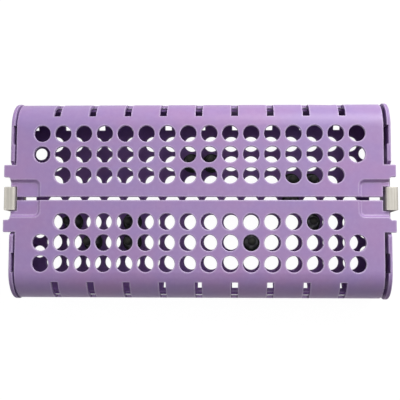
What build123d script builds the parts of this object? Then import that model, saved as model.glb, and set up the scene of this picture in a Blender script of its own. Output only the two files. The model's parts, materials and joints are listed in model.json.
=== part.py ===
"""Perforated instrument cassette with two hinged covers that meet at a seam along its middle.

Millimetres. X runs along the cassette, Y across it, Z up. The origin lies under the middle, on the
surface that the two end plates stand on.
"""

import os
from math import cos, radians, sin, sqrt

from build123d import *

# Overall size
plate_height = 30.0
plate_span = 105.5
plate_thickness = 2.0
plate_inner_x = 97.5
plate_edge_round = 0.7

# Walls and the rounded long edges
plate_proud = 0.5
cover_wall = 1.6
tray_wall = 1.6
nest_gap = 0.25
seam_gap = 1.7
cover_lip_angle = 5.5
tray_lip_angle = 0.0
lip_round = 0.4

# Hole pattern; the margins run from the outermost holes to the end plate and the hinge line
pitch = 11.0
hole_diameter = 8.5
column_margin = 14.5
floor_row_margin = 4.0
cover_row_margin = 3.0
first_cover_row = 12.15
short_row_inset = 1
hole_edge_round = 0.45
hole_edge_chamfer = 0.35
vent_diameter = 6.7
vent_end_offset = 8.4
vent_rows = (1.5, 2.5)

# Slots along the rounded edges, measured out from the hinge line
slot_pitch = 18.8
cover_slot_count = 9
tray_slot_count = 11
slot_width = 3.6
cover_slot_start = 5.9
cover_slot_sill = 0.5
tray_slot_start = 3.05
tray_slot_end = 9.35

# Cover ends, thumb tabs and the recess round each latch
cover_end_gap = 1.2
cover_shift = -0.5
cover_edge_round = 0.4
cover_end_round = 0.6
lid_setback = 0.3
lid_half_width = 17.7
tab_reach = 3.0
tab_width = 6.5
tab_gusset = 0.8
tab_corner_round = 0.5
notch_side_gap = 0.3
notch_depth = 1.7
recess_depth = 1.5
recess_length = 13.1
recess_tab_margin = 0.5
recess_slope = 1.3
recess_corner = 3.0
recess_edge_round = 0.7
recess_wall = 1.6
pad_margin = 1.6

# Webs that carry the covers on their hinge pins
web_thickness = 2.0
web_boss_radius = 5.5
web_depth = 5.0
web_start = 13.0
web_knee = 24.0
web_relief = 2.6

# Tray ends and the ledges of the end plates below them
window_half_width = 4.0
window_inner_x = 93.1
ledge_reach = 3.2
ledge_thickness = 1.6
ledge_inner_y = 7.5
ledge_outer_y = 26.0

# End plates
lowered_top_drop = 4.1
shoulder_clearance = 0.4
latch_gap_depth = 6.0
channel_half_width = 5.0
channel_depth = 1.0
foot_window_height = 9.0
pocket_inner_y = 28.5
pocket_outer_y = 38.5
pocket_depth = 0.8
pocket_height = 10.0
pivot_boss_radius = 4.5
pivot_boss_height = 0.6

# Hinge pins
hinge_pin_radius = 2.0
hinge_running_gap = 0.08
press_gap = 0.01
hinge_pin_overrun = 1.0
hinge_head_radius = 3.6
hinge_head_height = 1.1
head_round = 0.4

# Latches and their pins
latch_reach = 3.6
latch_width = 12.2
latch_strip = 1.2
latch_length_in = 6.4
latch_top_drop = 0.4
latch_lip_length = 3.6
latch_bend_radius = 1.7
latch_lip_radius = 1.5
latch_edge_round = 0.3
latch_axis_height = 4.5
latch_pin_radius = 0.9
latch_pin_gap = 0.05
latch_side_gap = 0.25
lug_width = 3.0
latch_pin_chamfer = 0.2

# Rivets that hold the ledges to the tray
rivet_offsets = (10.0, 22.0)
rivet_radius = 0.8
rivet_head_radius = 1.5
rivet_head_height = 0.6

# Pegs: column and row of each filled floor hole. Column 1 is the first one right of the middle,
# and row 0 is the middle row, with row 1 next to it towards the rear.
peg_places = (
    (0, 2), (1, 2), (5, 1), (6, 1), (5, 0), (-6, -1),
    (-3, -1), (6, -1), (-5, -2), (-3, -2), (3, -2),
)
peg_gap = 0.05
peg_collar_radius = 5.2
peg_collar_height = 1.1
peg_root_radius = 4.0
peg_tip_radius = 2.35
peg_height = 18.5
peg_barb_radius = 4.7
peg_barb_height = 1.1
peg_tail_radius = 3.4
peg_tail_height = 2.1

# Values that follow from the ones above
hinge_z = plate_height / 2
hinge_y = plate_span / 2 - hinge_z
plate_outer_x = plate_inner_x + plate_thickness
cover_outer_radius = hinge_z - plate_proud
cover_inner_radius = cover_outer_radius - cover_wall
cover_top = hinge_z + cover_outer_radius
cover_under = cover_top - cover_wall
cover_half_length = plate_inner_x - cover_end_gap
column_reach = int((plate_inner_x - column_margin) / pitch + 1 / 2)
hole_columns = range(1 - column_reach, column_reach + 1)
floor_row_reach = int((hinge_y - floor_row_margin) / pitch)
floor_rows = range(-floor_row_reach, floor_row_reach + 1)
cover_rows = range(1 + int((hinge_y - cover_row_margin - first_cover_row) / pitch))
lid_half_length = plate_outer_x - lid_setback
tab_end_x = plate_outer_x + tab_reach
tray_outer_radius = cover_inner_radius - nest_gap
tray_inner_radius = tray_outer_radius - tray_wall
floor_bottom = hinge_z - tray_outer_radius
floor_top = floor_bottom + tray_wall
hole_radius = hole_diameter / 2
latch_outer_x = plate_outer_x + latch_reach
latch_curl_radius = latch_pin_radius + latch_pin_gap + latch_strip
latch_axis_x = latch_outer_x - latch_curl_radius
latch_top = plate_height - latch_top_drop
notch_half_width = latch_width / 2 + notch_side_gap
tab_start = lid_half_width - tab_width
recess_half_width = tab_start - tab_gusset - recess_tab_margin
rivet_x = plate_inner_x - ledge_reach / 2
rivet_ys = [side * offset for offset in rivet_offsets for side in (1, -1)]

# Helpers for cutting and selecting
far = plate_height + plate_span
cut_margin = 1.0
tolerance = 0.01


def column_x(column):
    """Place of a hole column. Columns 0 and 1 lie on either side of the middle."""
    return (column - 1 / 2) * pitch


def block(x_range, y_range, z_range):
    """A box between two corners."""
    ranges = (x_range, y_range, z_range)
    size = [high - low for low, high in ranges]
    middle = [(high + low) / 2 for low, high in ranges]
    return Pos(*middle) * Box(*size)


def panel(u_range, v_range):
    """A flat rectangle between two corners."""
    (left, right), (low, high) = u_range, v_range
    return Pos((left + right) / 2, (low + high) / 2) * Rectangle(right - left, high - low)


def along_x(face, start, end):
    """Extrude a face drawn in the Y, Z plane from x = start to x = end."""
    return extrude(Plane.YZ.offset(start) * face, end - start)


def along_y(face, start, end):
    """Extrude a face drawn in the X, Z plane from y = start to y = end."""
    return extrude(Plane.XZ.offset(-start) * face, start - end)


def upright(radius, x, y, low, high):
    """A round cutter with its axis along Z."""
    return Pos(x, y, (low + high) / 2) * Cylinder(radius, high - low)


def edge_point(radius, angle):
    """A point in Y and Z at this radius from the rear hinge line; the angle starts at +Y."""
    turn = radians(angle)
    return (hinge_y + radius * cos(turn), hinge_z + radius * sin(turn))


def both_ends(right):
    """A feature at the right end with its mirror image at the left end."""
    return [right, mirror(right, Plane.YZ)]


def slot_cutters(count, start, end, low, high):
    """A row of slots along one rounded edge, between two distances out from the hinge line."""
    half = slot_width / 2
    cutters = []
    for step in range(count):
        x = (step - (count - 1) / 2) * slot_pitch
        cutters.append(block((x - half, x + half), (hinge_y + start, hinge_y + end), (low, high)))
    return cutters


def cover_section():
    """Section of the rear cover: the flat top and the rounded edge, down past the hinge line."""
    low = -cover_lip_angle
    flat = Polyline(
        edge_point(cover_inner_radius, 90),
        (seam_gap / 2, cover_under),
        (seam_gap / 2, cover_top),
        edge_point(cover_outer_radius, 90),
    )
    outer = CenterArc((hinge_y, hinge_z), cover_outer_radius, low, 90 - low)
    inner = CenterArc((hinge_y, hinge_z), cover_inner_radius, low, 90 - low)
    lip = Line(edge_point(cover_outer_radius, low), edge_point(cover_inner_radius, low))
    return make_face(flat + outer + lip + inner)


def lid_end():
    """The right end of the flat top, which laps over the end plate and carries the thumb tab."""
    root_x = cover_half_length - recess_length
    outline = make_face(Polyline(
        (root_x, seam_gap / 2),
        (lid_half_length, seam_gap / 2),
        (lid_half_length, tab_start - tab_gusset),
        (lid_half_length + tab_gusset, tab_start),
        (tab_end_x, tab_start),
        (tab_end_x, lid_half_width),
        (root_x, lid_half_width),
        close=True,
    ))
    tab_corners = outline.vertices().group_by(Axis.X)[-1]
    outline = fillet(tab_corners, tab_corner_round)
    return extrude(Plane.XY.offset(cover_under) * outline, cover_wall)


def recess_cutter():
    """The shallow sloped recess that gives a fingertip room behind the right latch."""
    levels = []
    for depths_up in (0, 2):
        inset = recess_slope * (1 - depths_up)
        start = cover_half_length - recess_length + inset
        length = far - start
        width = 2 * (recess_half_width - inset)
        corner = recess_corner - inset / 2
        outline = Pos(start + length / 2, 0) * RectangleRounded(length, width, corner)
        levels.append(Plane.XY.offset(cover_top + (depths_up - 1) * recess_depth) * outline)
    return loft(levels, ruled=True)


def cover_web():
    """The upright web at the right end of the rear cover, which turns on the hinge pin.

    It stops short of the rounded edge, to clear the tray's lip when the cover is wide open.
    """
    brace = make_face(Polyline(
        (web_start, cover_under),
        (web_start, cover_under - web_depth / 2),
        (web_knee, cover_under - web_depth),
        (hinge_y - web_boss_radius, hinge_z),
        (hinge_y, hinge_z),
        (hinge_y, hinge_z + web_boss_radius),
        (hinge_y - web_relief, cover_under),
        close=True,
    ))
    boss = Pos(hinge_y, hinge_z) * Circle(web_boss_radius)
    return along_x(brace + boss, cover_half_length - web_thickness, cover_half_length)


def round_cover_rim(cover):
    """Round the cover's ends, then the rest of the flat top's outline outside the recesses."""
    ends = [
        edge for edge in cover.edges().filter_by(GeomType.CIRCLE)
        if abs(edge.radius - cover_outer_radius) < tolerance
    ]
    rim = cover.faces().sort_by(Axis.Z)[-1].outer_wire().edges()
    ends += [edge for edge in rim if abs(abs(edge.center().X) - cover_half_length) < tolerance]
    cover = fillet(ends, cover_end_round)
    rim = cover.faces().filter_by(Axis.Z).sort_by(Axis.Z)[-1].outer_wire().edges()
    edges = []
    for edge in rim:
        middle = edge.center()
        at_end = 0 < cover_half_length - abs(middle.X) < 2 * cover_end_round
        rounded = at_end and middle.Y > lid_half_width + tolerance
        straight_or_round = edge.geom_type != GeomType.BSPLINE
        if middle.Y < hinge_y - tolerance and straight_or_round and not rounded:
            edges.append(edge)
    return fillet(edges, cover_edge_round)


def recess_edges(cover):
    """The top and bottom edges of the sloped walls round both latch recesses."""
    floor = cover_top - recess_depth
    walls = [
        face for face in cover.faces().filter_by(GeomType.BSPLINE)
        if abs(face.bounding_box().min.Z - floor) < tolerance
    ]
    edges = [edge for wall in walls for edge in wall.edges()]
    level = [edge for edge in edges if edge.bounding_box().size.Z < tolerance]
    distinct = []
    for edge in level:
        if all((edge.center() - other.center()).length > tolerance for other in distinct):
            distinct.append(edge)
    return distinct


def hole_rims(sheet, level):
    """The rims of the round holes of a cover or of the tray, at one level."""
    largest = hole_diameter + tolerance
    rims = []
    for edge in sheet.edges():
        box = edge.bounding_box()
        across = max(box.size.X, box.size.Y)
        bent = edge.geom_type != GeomType.LINE
        flat = box.size.Z < tolerance and abs(box.min.Z - level) < tolerance
        if bent and flat and hole_radius < across < largest:
            rims.append(edge)
    return rims


def rear_cover():
    """The rear cover, hinged along the rear rounded edge."""
    cover = along_x(cover_section(), -cover_half_length, cover_half_length)
    cover = cover + both_ends(lid_end())
    notch_x = plate_inner_x - notch_depth
    notch = block((notch_x, far), (0, notch_half_width), (0, far))
    cover = cover - both_ends(notch)
    pad = block(
        (cover_half_length - recess_length - pad_margin, lid_half_length),
        (seam_gap / 2, recess_half_width + pad_margin),
        (cover_top - recess_depth - recess_wall, cover_under),
    )
    cover = cover + both_ends(pad - notch)
    cover = cover - both_ends(recess_cutter())
    cover = fillet(recess_edges(cover), recess_edge_round)
    cover = round_cover_rim(cover)
    cover = cover + both_ends(cover_web())

    cutters = slot_cutters(
        cover_slot_count, cover_slot_start, far, hinge_z + cover_slot_sill, far)
    low = cover_under - cut_margin
    high = cover_top + cut_margin
    for row in cover_rows:
        inset = short_row_inset if row == 0 else 0
        y = first_cover_row + row * pitch
        for column in hole_columns[inset:len(hole_columns) - inset]:
            cutters.append(upright(hole_radius, column_x(column), y, low, high))
    pin_hole = Pos(hinge_y, hinge_z) * Circle(hinge_pin_radius + hinge_running_gap)
    cutters.append(along_x(pin_hole, -far, far))
    cover = cover - cutters
    cover = chamfer(hole_rims(cover, cover_under), hole_edge_chamfer)
    cover = fillet(hole_rims(cover, cover_top), hole_edge_round)
    return Pos(cover_shift, 0, 0) * cover


def tray_half_section():
    """Section of the rear half of the tray: flat floor and the rounded wall up to its lip."""
    turn = 90 + tray_lip_angle
    outer = CenterArc((hinge_y, hinge_z), tray_outer_radius, -90, turn)
    inner = CenterArc((hinge_y, hinge_z), tray_inner_radius, -90, turn)
    lip = Line(
        edge_point(tray_outer_radius, tray_lip_angle),
        edge_point(tray_inner_radius, tray_lip_angle),
    )
    floor = Polyline(
        edge_point(tray_inner_radius, -90),
        (0, floor_top),
        (0, floor_bottom),
        edge_point(tray_outer_radius, -90),
    )
    return make_face(outer + lip + inner + floor)


def base_tray():
    """The perforated tray, a trough with two rounded walls that the end plates close."""
    half = along_x(tray_half_section(), -plate_inner_x, plate_inner_x)
    lip_edges = half.edges().filter_by(Axis.X).group_by(Axis.Z)[-1]
    half = fillet(lip_edges, lip_round)
    tray = half + mirror(half, Plane.XZ)

    low = floor_bottom - cut_margin
    high = floor_top + cut_margin
    cutters = []
    for row in floor_rows:
        for column in hole_columns:
            cutters.append(upright(hole_radius, column_x(column), row * pitch, low, high))
    vent_x = column_x(hole_columns[-1]) + vent_end_offset
    for row in vent_rows:
        for y in (row * pitch, -row * pitch):
            cutters += both_ends(upright(vent_diameter / 2, vent_x, y, low, high))
    cutters += both_ends(block(
        (window_inner_x, far), (-window_half_width, window_half_width), (low, high)))
    slots = slot_cutters(tray_slot_count, tray_slot_start, tray_slot_end, 0, hinge_z)
    for cutter in slots:
        cutters += [cutter, mirror(cutter, Plane.XZ)]
    cutters += both_ends(rivet_shanks(rivet_radius + press_gap))
    tray = tray - cutters
    return chamfer(hole_rims(tray, floor_top), hole_edge_chamfer)


def rivet_shanks(radius):
    """The four rivet shanks at the right end, up through the ledges and the tray's floor."""
    low = floor_bottom - ledge_thickness
    return Compound(children=[upright(radius, rivet_x, y, low, floor_top) for y in rivet_ys])


def end_plate():
    """The right end plate: a rounded slab that the cassette stands on."""
    outline = Pos(0, hinge_z) * SlotOverall(plate_span, plate_height)
    plate = along_x(outline, plate_inner_x, plate_outer_x)
    plate = fillet(plate.faces().sort_by(Axis.X)[-1].edges(), plate_edge_round)

    through = (plate_inner_x - cut_margin, plate_outer_x + cut_margin)
    lowered = block(through, (-hinge_y, hinge_y), (plate_height - lowered_top_drop, far))
    corner_reach = sqrt((hinge_y - lid_half_width) ** 2 + (cover_under - hinge_z) ** 2)
    shoulder = Circle(corner_reach - shoulder_clearance)
    for y in (hinge_y, -hinge_y):
        lowered = lowered - along_x(Pos(y, hinge_z) * shoulder, *through)
    latch_gap = block(
        through, (-notch_half_width, notch_half_width), (plate_height - latch_gap_depth, far))
    foot_window = block(through, (-notch_half_width, notch_half_width), (-far, foot_window_height))
    channel = block(
        (plate_inner_x - cut_margin, plate_inner_x + channel_depth),
        (-channel_half_width, channel_half_width),
        (-far, far),
    )
    pocket = block(
        (plate_inner_x - cut_margin, plate_inner_x + pocket_depth),
        (pocket_inner_y, pocket_outer_y),
        (plate_height - pocket_height, far),
    )
    plate = plate - [lowered, latch_gap, foot_window, channel, pocket, mirror(pocket, Plane.XZ)]

    ledge = block(
        (plate_inner_x - ledge_reach, plate_inner_x),
        (ledge_inner_y, ledge_outer_y),
        (floor_bottom - ledge_thickness, floor_bottom),
    )
    plate = plate + [ledge, mirror(ledge, Plane.XZ)]

    lug_start = latch_width / 2 + latch_side_gap
    lug_root = panel(
        (plate_inner_x + plate_thickness / 2, latch_axis_x),
        (latch_axis_height - latch_curl_radius, latch_axis_height + latch_curl_radius),
    )
    lug_eye = Pos(latch_axis_x, latch_axis_height) * Circle(latch_curl_radius)
    lug = along_y(lug_root + lug_eye, lug_start, lug_start + lug_width)
    plate = plate + [lug, mirror(lug, Plane.XZ)]

    for y in (hinge_y, -hinge_y):
        boss = Pos(y, hinge_z) * Circle(pivot_boss_radius)
        hole = Pos(y, hinge_z) * Circle(hinge_pin_radius + press_gap)
        plate = plate + along_x(boss, plate_inner_x - pivot_boss_height, plate_inner_x)
        plate = plate - along_x(hole, plate_inner_x - pivot_boss_height - cut_margin, far)
    plate = plate - rivet_shanks(rivet_radius + press_gap)
    pin_hole = Pos(latch_axis_x, latch_axis_height) * Circle(latch_pin_radius + press_gap)
    return plate - along_y(pin_hole, -far, far)


def hinge_pin():
    """The headed pin at the rear right, pressed into the end plate."""
    tip = cover_half_length - web_thickness - abs(cover_shift) - hinge_pin_overrun
    shank = along_x(Circle(hinge_pin_radius), tip, plate_outer_x)
    shank = chamfer(shank.faces().sort_by(Axis.X)[0].edges(), head_round)
    head = along_x(Circle(hinge_head_radius), plate_outer_x, plate_outer_x + hinge_head_height)
    head = fillet(head.faces().sort_by(Axis.X)[-1].edges(), head_round)
    return Pos(0, hinge_y, hinge_z) * (shank + head)


def latch_outline(inset):
    """The bent strip's outline from the front, drawn this far inside its outer surface."""
    left = latch_outer_x - latch_length_in + inset
    right = latch_outer_x - inset
    outline = panel((left, right), (latch_axis_height - inset, latch_top - inset))
    top_left = outline.vertices().group_by(Axis.Y)[-1].sort_by(Axis.X)[0]
    outline = fillet(top_left, latch_lip_radius - inset)
    top_right = outline.vertices().group_by(Axis.X)[-1].sort_by(Axis.Y)[-1]
    return fillet(top_right, latch_bend_radius - inset)


def latch():
    """The right latch: a strip bent over the end plate and curled round its pin at the foot."""
    inner_x = latch_outer_x - latch_length_in
    under_lip = panel(
        (inner_x - cut_margin, inner_x + latch_strip),
        (latch_axis_height - cut_margin, latch_top - latch_lip_length),
    )
    strip = latch_outline(0) - latch_outline(latch_strip) - under_lip
    curl = Circle(latch_curl_radius) - Circle(latch_curl_radius - latch_strip)
    profile = strip + Pos(latch_axis_x, latch_axis_height) * curl
    body = along_y(profile, -latch_width / 2, latch_width / 2)
    return fillet(body.faces().filter_by(Axis.Y).edges(), latch_edge_round)


def latch_pin():
    """The pin that the right latch turns on, pressed into the end plate's lugs."""
    half = latch_width / 2 + latch_side_gap + lug_width
    pin = along_y(Circle(latch_pin_radius), -half, half)
    pin = chamfer(pin.faces().filter_by(Axis.Y).edges(), latch_pin_chamfer)
    return Pos(latch_axis_x, 0, latch_axis_height) * pin


def plate_rivets():
    """The four rivets that hold the right end plate's ledges, each with a head at both ends."""
    low = floor_bottom - ledge_thickness
    shank = upright(rivet_radius, 0, 0, low, floor_top)
    head = upright(rivet_head_radius, 0, 0, floor_top, floor_top + rivet_head_height)
    head = fillet(head.faces().sort_by(Axis.Z)[-1].edges(), rivet_head_height / 2)
    tail = upright(rivet_head_radius, 0, 0, low - rivet_head_height, low)
    tail = fillet(tail.faces().sort_by(Axis.Z)[0].edges(), rivet_head_height / 2)
    rivet = shank + head + tail
    return Compound(children=[Pos(rivet_x, y, 0) * rivet for y in rivet_ys])


def peg(column, row):
    """A soft finger peg that snaps into one hole of the floor."""
    tip = floor_top + peg_height
    plug_radius = hole_radius - peg_gap
    outline = Polyline(
        (0, tip),
        (0, floor_bottom - peg_tail_height),
        (peg_tail_radius, floor_bottom - peg_tail_height),
        (peg_barb_radius, floor_bottom - peg_barb_height),
        (peg_barb_radius, floor_bottom),
        (plug_radius, floor_bottom),
        (plug_radius, floor_top),
        (peg_collar_radius, floor_top),
        (peg_collar_radius, floor_top + peg_collar_height),
        (peg_root_radius, floor_top + peg_collar_height),
        (peg_tip_radius, tip - peg_tip_radius),
    )
    crown = CenterArc((0, tip - peg_tip_radius), peg_tip_radius, 0, 90)
    body = revolve(Plane.XZ * make_face(outline + crown), Axis.Z)
    return Pos(column_x(column), row * pitch, 0) * body


def all_parts():
    """Every piece of the cassette by name."""
    parts = {"base_tray": base_tray()}
    for name, piece in (
        ("end_plate", end_plate()),
        ("latch", latch()),
        ("latch_pin", latch_pin()),
        ("plate_rivets", plate_rivets()),
    ):
        parts["right_" + name] = piece
        parts["left_" + name] = mirror(piece, Plane.YZ)
    cover = rear_cover()
    parts["rear_cover"] = cover
    parts["front_cover"] = mirror(cover, Plane.XZ)
    pin = hinge_pin()
    for side, piece in (("right", pin), ("left", mirror(pin, Plane.YZ))):
        parts["rear_" + side + "_hinge_pin"] = piece
        parts["front_" + side + "_hinge_pin"] = mirror(piece, Plane.XZ)
    for number, (column, row) in enumerate(peg_places, start=1):
        parts[f"peg_{number:02d}"] = peg(column, row)
    return parts


os.makedirs("parts", exist_ok=True)
for node, shape in all_parts().items():
    export_step(shape, "parts/" + node + ".step")
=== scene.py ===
"""Looks of the perforated instrument cassette: its finishes, the pale floor, the light and the camera.

Metres. X runs along the cassette, Y across it towards the rear cover, Z up from the floor.
"""

import json

import bpy
from mathutils import Matrix, Vector

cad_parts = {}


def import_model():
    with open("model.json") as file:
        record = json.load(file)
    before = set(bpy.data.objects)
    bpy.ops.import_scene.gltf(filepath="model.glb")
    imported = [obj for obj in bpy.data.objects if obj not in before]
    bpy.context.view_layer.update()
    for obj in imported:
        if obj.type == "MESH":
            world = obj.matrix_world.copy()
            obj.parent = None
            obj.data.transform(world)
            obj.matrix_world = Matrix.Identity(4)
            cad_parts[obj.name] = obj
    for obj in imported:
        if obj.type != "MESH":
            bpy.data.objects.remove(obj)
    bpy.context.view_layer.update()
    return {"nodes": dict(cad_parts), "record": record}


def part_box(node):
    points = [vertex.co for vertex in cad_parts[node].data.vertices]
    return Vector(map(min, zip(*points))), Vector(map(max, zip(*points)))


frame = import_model()

# Camera, found from the hole rows of the cover and of the floor below it. The sensor and the lens
# are in millimetres.
PHOTO_SIDE = 400
SENSOR = 36.0
CAMERA_PLACE = Vector((0.0180, -0.03227, 0.37505))
CAMERA_TARGET = Vector((0.00814, -0.00844, 0.015))
CAMERA_LENS = 60.04
CAMERA_CLIP = (0.01, 20)
AXIS_RIGHT_OF_CENTRE_PX = 15.7
AXIS_BELOW_CENTRE_PX = 16.4
PICTURE_UP = Vector((-0.0027, 1, 0))

# The pale band along an edge, worn on the metal and on the resin partly worn and partly a painted
# highlight: its width, how far the surface has to turn for the band to start and be full, as 1 minus a
# cosine, and its strength outside the patches
EDGE_BAND_REACH = 0.0012
EDGE_TURN = (0.005, 0.05)
LEAST_EDGE_BAND = 0.70

# The painted shade in a hole or corner: how far it looks for walls, and the hidden shares of the
# surroundings at which it starts and is full
CAVITY_REACH = 0.004
CAVITY_HIDDEN = (0.30, 0.56)

# The pegs' tips, and how far down from them the painted tip highlight reaches
PEG_TIP_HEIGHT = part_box("peg_01")[1][2]
PEG_HIGHLIGHT_DEPTH = 0.0014

# Colours, linear
LAVENDER = (0.362, 0.238, 0.488)
LAVENDER_PINK = (0.420, 0.228, 0.470)
LAVENDER_BLUE = (0.322, 0.226, 0.520)
# Pale resin for scuffs, cloudy patches, worn edges and the painted highlight on edges and hole rims
LAVENDER_PALE_WEAR_AND_HIGHLIGHT = (0.770, 0.665, 0.865)
LAVENDER_SHADE = (0.030, 0.016, 0.045)
# Painted shade: the tray's resin is multiplied by this to darken the whole piece
TRAY_PAINTED_SHADE = (0.52, 0.42, 0.60)
LATCH_PALE = (0.46, 0.44, 0.40)
LATCH_DARK = (0.33, 0.315, 0.285)
LATCH_RUBBED = (0.575, 0.55, 0.50)
PIN_PALE = (0.60, 0.59, 0.57)
PIN_DARK = (0.42, 0.41, 0.39)
SILICONE = (0.008, 0.010, 0.010)
SILICONE_WORN = (0.016, 0.019, 0.014)
SILICONE_TIP_HIGHLIGHT = (0.060, 0.062, 0.048)
WHITE = (1, 1, 1)

# Patterns, in marks per metre, with one number along each axis where they are stretched
FLOW_PATCHES = (26, 34, 26)
FLOW_STREAKS = (60, 95, 60)
RESIN_CLOUDS = 420
RESIN_SCUFFS = (900, 110, 900)
RESIN_GRAIN = 2600
RESIN_SINKS = 60
EDGE_BAND_SPOTS = 500
ROLLING_LINES = (1900, 24, 1900)
LATCH_SPOTS = 300
TOOL_RINGS = (300, 6000, 6000)
PIN_SPOTS = 420
SILICONE_BLOOM = 240
SILICONE_GRAIN = 3800

# How strongly the patterns tint a surface, from 0 to 1
PINK_SHARE = 0.55
BLUE_SHARE = 0.45
EDGE_PALENESS = 0.64
SCUFF_PALENESS = 0.12
CLOUD_PALENESS = 0.05
LATCH_SPOT_SHARE = 0.30
LATCH_EDGE_SHARE = 0.60
PIN_SPOT_SHARE = 0.6
PEG_TIP_HIGHLIGHT_SHARE = 0.8

# Height of the relief on each finish
RESIN_RELIEF = 0.00012
LATCH_RELIEF = 0.00006
PIN_RELIEF = 0.00003
SILICONE_RELIEF = 0.00006

# Floor and background, white to the camera and still dimmed a little by the object's shadow
FLOOR_GLOW = 0.90
FLOOR_GLOW_STRENGTH = 1.08
FLOOR_SEEN = 0.90
FLOOR_BOUNCE = 0.55
FLOOR_HALF = 3.0
AMBIENT = 0.10
LIGHT_TARGET = Vector((0, 0, 0.015))


class Value:
    """One output of a node. Arithmetic on it adds Math nodes."""

    def __init__(self, graph, socket):
        self.graph = graph
        self.socket = socket

    def __add__(self, other):
        return self.graph.maths("ADD", self, other)

    def __sub__(self, other):
        return self.graph.maths("SUBTRACT", self, other)

    def __rsub__(self, other):
        return self.graph.maths("SUBTRACT", other, self)

    def __mul__(self, other):
        return self.graph.maths("MULTIPLY", self, other)

    __radd__ = __add__
    __rmul__ = __mul__

    def ramp(self, low, high):
        """0 below low, 1 above high, and a straight line between them."""
        inputs = {"Value": self, "From Min": low, "From Max": high}
        return self.graph.node("ShaderNodeMapRange", inputs, "Result", clamp=True)


class Graph:
    """The nodes of a material or of the world."""

    def __init__(self, owner):
        owner.use_nodes = True
        self.tree = owner.node_tree

    def link(self, value, socket):
        """Feed a socket from a Value, or set it to a constant. Constant colours have three parts."""
        if isinstance(value, Value):
            self.tree.links.new(value.socket, socket)
        elif socket.type == "RGBA":
            socket.default_value = (*value, 1.0)
        else:
            socket.default_value = value

    def node(self, kind, inputs, output, **settings):
        """Add a node with its settings and inputs, and return one of its outputs."""
        made = self.tree.nodes.new(kind)
        for name, value in settings.items():
            setattr(made, name, value)
        for name, value in inputs.items():
            self.link(value, made.inputs[name])
        return Value(self, made.outputs[output])

    def ready_made(self, kind):
        """A node that Blender put there itself."""
        return next(node for node in self.tree.nodes if node.type == kind)

    def maths(self, operation, first, second):
        return self.node("ShaderNodeMath", {0: first, 1: second}, 0, operation=operation)

    def blend(self, share, first, second, kind="MIX"):
        """Blend two colours. The Mix node's colour sockets share their names, so they go by number."""
        inputs = {0: share, 6: first, 7: second}
        return self.node("ShaderNodeMix", inputs, 2, data_type="RGBA", blend_type=kind)

    def seen_directly(self):
        """1 for what the camera sees, straight, mirrored or through glass, and 0 for light."""
        camera, mirrored, through = (
            self.node("ShaderNodeLightPath", {}, kind)
            for kind in ("Is Camera Ray", "Is Glossy Ray", "Is Transmission Ray"))
        return self.maths("MAXIMUM", self.maths("MAXIMUM", camera, mirrored), through)


class Finish(Graph):
    """One material and its Principled shader."""

    def __init__(self, name):
        self.material = bpy.data.materials.new(name)
        super().__init__(self.material)
        self.shader = self.ready_made("BSDF_PRINCIPLED")

    def point(self):
        """The point on the piece in its own metres."""
        return self.node("ShaderNodeTexCoord", {}, "Object")

    def noise(self, marks, detail=2.0, roughness=0.5):
        """Noise with this many marks per metre, or with three counts along X, Y and Z."""
        if isinstance(marks, int):
            marks = (marks, marks, marks)
        inputs = {0: self.point(), 1: marks}
        stretched = self.node("ShaderNodeVectorMath", inputs, "Vector", operation="MULTIPLY")
        inputs = {"Vector": stretched, "Scale": 1.0, "Detail": detail, "Roughness": roughness}
        return self.node("ShaderNodeTexNoise", inputs, 0)

    def edge_band(self):
        """0 on open faces and up to 1 near a sharp or rounded edge, broken by noise. On the metal it
        marks rubbed wear; on the resin, wear and a painted highlight.
        """
        soft = self.node("ShaderNodeBevel", {"Radius": EDGE_BAND_REACH}, "Normal", samples=4)
        own = self.node("ShaderNodeNewGeometry", {}, "Normal")
        facing = self.node(
            "ShaderNodeVectorMath", {0: soft, 1: own}, "Value", operation="DOT_PRODUCT")
        patchy = self.noise(EDGE_BAND_SPOTS, detail=3.0, roughness=0.6).ramp(low=0.30, high=0.62)
        return (1 - facing).ramp(*EDGE_TURN) * (LEAST_EDGE_BAND + patchy * (1 - LEAST_EDGE_BAND))

    def painted_cavity_shade(self):
        """Painted shade: 0 on open faces and up to 1 inside the piece's own holes, slots and tight
        corners.
        """
        inputs = {"Distance": CAVITY_REACH}
        clear = self.node("ShaderNodeAmbientOcclusion", inputs, "AO", samples=16, only_local=True)
        return (1 - clear).ramp(*CAVITY_HIDDEN)

    def bump(self, height, depth, strength):
        inputs = {"Height": height, "Distance": depth, "Strength": strength}
        return self.node("ShaderNodeBump", inputs, "Normal")

    def set(self, **values):
        """Set the Principled shader's inputs, with _ for a space in their names."""
        for name, value in values.items():
            self.link(value, self.shader.inputs[name.replace("_", " ")])
        return self.material

    def mix_shaders(self, share, first, second):
        """End the material with a mix of two shaders."""
        mixed = self.node("ShaderNodeMixShader", {0: share, 1: first, 2: second}, "Shader")
        self.link(mixed, self.ready_made("OUTPUT_MATERIAL").inputs["Surface"])

    def shade(self, share, colour):
        """Paint shade: go over to a plain matt colour where share is 1."""
        inputs = {"Base Color": colour, "Roughness": 1.0, "Specular IOR Level": 0.0}
        matt = self.node("ShaderNodeBsdfPrincipled", inputs, "BSDF")
        self.mix_shaders(share, Value(self, self.shader.outputs["BSDF"]), matt)


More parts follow.
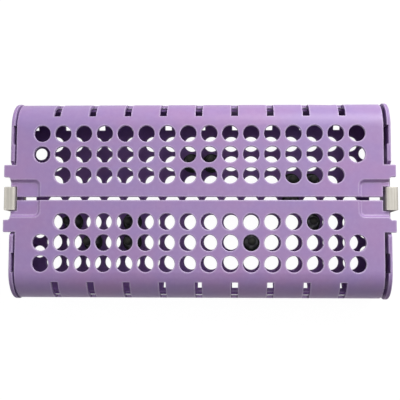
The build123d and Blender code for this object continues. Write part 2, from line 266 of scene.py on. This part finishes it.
def resin(name, depth=WHITE, shine=0.5):
    """Moulded lavender resin: slow flow marks, fine satin grain, scuffs, pale edges that are partly
    worn and partly a painted highlight, painted shade in its holes and corners, and a painted shade
    over the whole piece through depth.
    """
    made = Finish(name)
    warm = made.noise(FLOW_PATCHES).ramp(low=0.40, high=0.66)
    cool = made.noise(FLOW_STREAKS, detail=3.0, roughness=0.6).ramp(low=0.42, high=0.70)
    colour = made.blend(warm * PINK_SHARE, LAVENDER, LAVENDER_PINK)
    colour = made.blend(cool * BLUE_SHARE, colour, LAVENDER_BLUE)
    cloud = made.noise(RESIN_CLOUDS, detail=3.0, roughness=0.6).ramp(low=0.38, high=0.70)
    scuff = made.noise(RESIN_SCUFFS, detail=4.0, roughness=0.65).ramp(low=0.64, high=0.80)
    # Pale band on edges and hole rims: partly wear, partly a painted highlight
    edge_share = made.edge_band()
    pale = edge_share * EDGE_PALENESS + scuff * SCUFF_PALENESS + cloud * CLOUD_PALENESS
    colour = made.blend(pale, colour, LAVENDER_PALE_WEAR_AND_HIGHLIGHT)
    # Painted shade over the whole piece where depth is darker than white, as on the tray
    colour = made.blend(1.0, colour, depth, "MULTIPLY")
    # Painted shade, dark and matt, in the piece's own holes, slots and corners
    made.shade(made.painted_cavity_shade(), LAVENDER_SHADE)
    grain = made.noise(RESIN_GRAIN)
    sinks = made.noise(RESIN_SINKS, detail=1.0)
    return made.set(
        Base_Color=colour,
        Roughness=0.40 + cloud * 0.07 + scuff * 0.16 - edge_share * 0.08,
        Normal=made.bump(grain * 0.3 + sinks, RESIN_RELIEF, strength=0.6),
        Specular_IOR_Level=shine,
        IOR=1.5,
    )


def latch_metal(name):
    """Blasted stainless strip with fine rolling lines along its width and rubbed edges."""
    made = Finish(name)
    lines = made.noise(ROLLING_LINES, detail=4.0, roughness=0.7)
    streak = lines.ramp(low=0.36, high=0.64)
    spots = made.noise(LATCH_SPOTS, detail=3.0, roughness=0.6).ramp(low=0.42, high=0.70)
    edge_share = made.edge_band()
    colour = made.blend(streak, LATCH_DARK, LATCH_PALE)
    colour = made.blend(spots * LATCH_SPOT_SHARE, colour, LATCH_DARK)
    colour = made.blend(edge_share * LATCH_EDGE_SHARE, colour, LATCH_RUBBED)
    return made.set(
        Base_Color=colour,
        Metallic=1.0,
        Roughness=0.56 + streak * 0.08 - edge_share * 0.14,
        Normal=made.bump(lines + spots * 0.4, LATCH_RELIEF, strength=0.6),
    )


def turned_steel(name):
    """Turned pins and rivets, with fine tool rings round their axis and dull patches."""
    made = Finish(name)
    rings = made.noise(TOOL_RINGS)
    spots = made.noise(PIN_SPOTS, detail=3.0, roughness=0.6).ramp(low=0.4, high=0.7)
    return made.set(
        Base_Color=made.blend(spots * PIN_SPOT_SHARE, PIN_PALE, PIN_DARK),
        Metallic=1.0,
        Roughness=0.30 + rings * 0.14,
        Normal=made.bump(rings, PIN_RELIEF, strength=0.5),
    )


def silicone(name):
    """Soft dark silicone, dusty in patches, with a painted highlight on the tips."""
    made = Finish(name)
    bloom = made.noise(SILICONE_BLOOM, detail=4.0, roughness=0.6).ramp(low=0.40, high=0.72)
    height = made.node("ShaderNodeSeparateXYZ", {"Vector": made.point()}, "Z")
    # Painted highlight on the top of each peg
    tip_highlight = height.ramp(PEG_TIP_HEIGHT - PEG_HIGHLIGHT_DEPTH, PEG_TIP_HEIGHT)
    colour = made.blend(bloom, SILICONE, SILICONE_WORN)
    return made.set(
        Base_Color=made.blend(tip_highlight * PEG_TIP_HIGHLIGHT_SHARE, colour, SILICONE_TIP_HIGHLIGHT),
        Roughness=0.55 + bloom * 0.15,
        Normal=made.bump(made.noise(SILICONE_GRAIN), SILICONE_RELIEF, strength=0.5),
        Specular_IOR_Level=0.35,
        IOR=1.42,
    )


def dress_nodes():
    """Give each CAD node the finish of its material slot in the record."""
    finishes = {
        "resin_covers": resin("lavender_resin_covers"),
        "resin_ends": resin("lavender_resin_ends", shine=0.04),
        "resin_tray": resin("lavender_resin_tray", depth=TRAY_PAINTED_SHADE, shine=0.15),
        "latch_metal": latch_metal("latch_strip_steel"),
        "steel_pins": turned_steel("turned_steel"),
        "silicone": silicone("dark_silicone"),
    }
    slot_of = {row["node"]: row["material_slot"] for row in frame["record"]["subparts"]}
    for node, piece in frame["nodes"].items():
        piece.data.materials.clear()
        piece.data.materials.append(finishes[slot_of[node]])


def add_object(name, data):
    made = bpy.data.objects.new(name, data)
    bpy.context.scene.collection.objects.link(made)
    return made


def floor():
    """A pale floor that looks white and keeps the shadow, but bounces only a little light."""
    half = FLOOR_HALF
    mesh = bpy.data.meshes.new("floor")
    corners = [(-half, -half, 0), (half, -half, 0), (half, half, 0), (-half, half, 0)]
    mesh.from_pydata(corners, [], [(0, 1, 2, 3)])
    paint = Finish("floor_white")
    paint.tree.nodes.remove(paint.shader)
    seen = paint.seen_directly()
    colour = paint.blend(seen, [FLOOR_BOUNCE] * 3, [FLOOR_SEEN] * 3)
    matt = paint.node("ShaderNodeBsdfDiffuse", {"Color": colour}, "BSDF")
    glow = paint.node("ShaderNodeEmission", {"Strength": FLOOR_GLOW_STRENGTH}, "Emission")
    paint.mix_shaders(seen * FLOOR_GLOW, matt, glow)
    mesh.materials.append(paint.material)
    add_object("floor", mesh)


def world():
    """White wherever it is seen, and a weak even light elsewhere."""
    made = bpy.data.worlds.new("studio")
    bpy.context.scene.world = made
    graph = Graph(made)
    inputs = {"Value": graph.seen_directly(), "To Min": AMBIENT, "To Max": 1.0}
    level = graph.node("ShaderNodeMapRange", inputs, "Result")
    background = graph.ready_made("BACKGROUND")
    graph.link(level, background.inputs["Strength"])
    graph.link(WHITE, background.inputs["Color"])


def softbox(name, place, size, watts):
    """A rectangular lamp that points at the cassette."""
    light = bpy.data.lights.new(name, "AREA")
    light.shape = "RECTANGLE"
    light.size, light.size_y = size
    light.energy = watts
    made = add_object(name, light)
    made.location = place
    made.rotation_euler = (LIGHT_TARGET - Vector(place)).to_track_quat("-Z", "Y").to_euler()


def camera():
    """The photograph's camera. The photograph is cropped off its centre, so the view is shifted."""
    data = bpy.data.cameras.new("camera")
    data.sensor_width = SENSOR
    data.lens = CAMERA_LENS
    data.shift_x = -AXIS_RIGHT_OF_CENTRE_PX / PHOTO_SIDE
    data.shift_y = AXIS_BELOW_CENTRE_PX / PHOTO_SIDE
    data.clip_start, data.clip_end = CAMERA_CLIP
    made = add_object("camera", data)
    back = (CAMERA_PLACE - CAMERA_TARGET).normalized()
    right = PICTURE_UP.cross(back).normalized()
    made.matrix_world = Matrix((right, back.cross(right), back)).transposed().to_4x4()
    made.location = CAMERA_PLACE
    bpy.context.scene.camera = made


dress_nodes()
floor()
world()
softbox("key", place=(0.30, 0.46, 0.40), size=(0.6, 0.3), watts=4.8)
softbox("top", place=(0.1, 0.2, 1.1), size=(0.8, 0.6), watts=1.5)
softbox("fill", place=(-0.9, 0.0, 0.50), size=(0.5, 0.4), watts=2.5)
softbox("front", place=(0.1, -1.0, 0.12), size=(0.8, 0.2), watts=0.3)
camera()
bpy.context.scene.view_settings.view_transform = "Standard"
